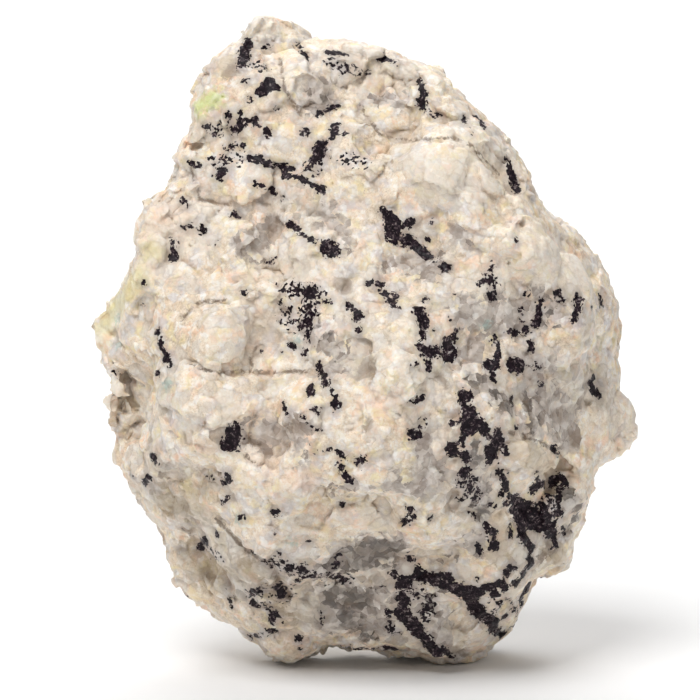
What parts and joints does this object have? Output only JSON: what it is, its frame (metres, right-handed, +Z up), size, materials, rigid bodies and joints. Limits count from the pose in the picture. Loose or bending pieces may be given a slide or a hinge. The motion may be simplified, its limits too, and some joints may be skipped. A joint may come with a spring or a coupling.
{
  "type": "pegmatite hand sample",
  "caption": "Fist-sized broken lump of coarse white pegmatite with black mineral streaks, standing upright on a small flat foot.",
  "frame": {"origin": "under the middle of the bounding box, on the surface that the sample stands on", "axes": "+Z up from the foot to the peak, +X to the right of the face seen in the picture, +Y away from its viewer"},
  "size_m": [0.0854, 0.0616, 0.1017],
  "materials": {
    "pegmatite": "freshly broken, rough and grainy: cream, pink and white feldspar, grey glassy quartz and black mineral flecks"
  },
  "bodies": {
    "root": {"pegmatite_lump": "pegmatite"}
  },
  "joints": []
}
